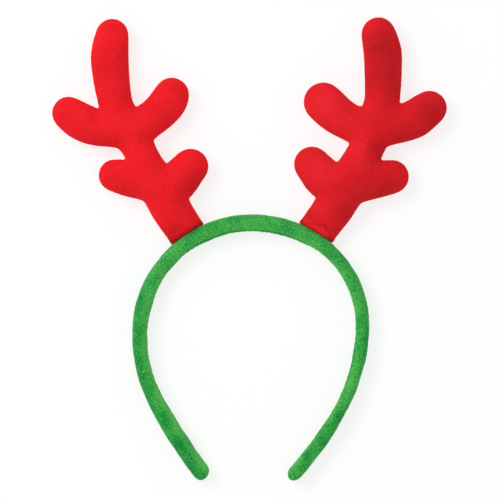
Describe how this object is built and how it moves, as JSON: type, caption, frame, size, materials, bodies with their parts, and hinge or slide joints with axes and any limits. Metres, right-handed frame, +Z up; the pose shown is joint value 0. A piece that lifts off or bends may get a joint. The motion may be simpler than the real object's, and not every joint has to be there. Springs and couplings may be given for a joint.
{
  "type": "reindeer antler headband",
  "caption": "Padded velvet headband arch with stuffed velvet reindeer antlers, lying flat on its back.",
  "frame": {"origin": "on the surface that the headband lies on, under the centre of its bounding box", "axes": "+X to the viewer's right across the arch, +Y from the arch's tips to the antlers' top tines, +Z up from the surface, which is front to back when the headband is worn"},
  "size_m": [0.2286, 0.2686, 0.0176],
  "materials": {
    "green_velvet": "short-pile velvet, mottled by the lie of its nap",
    "red_velvet": "short-pile velvet, smooth and slightly sheeny"
  },
  "bodies": {
    "root": {"headband": "green_velvet", "antler_left": "red_velvet", "antler_right": "red_velvet"}
  },
  "joints": []
}
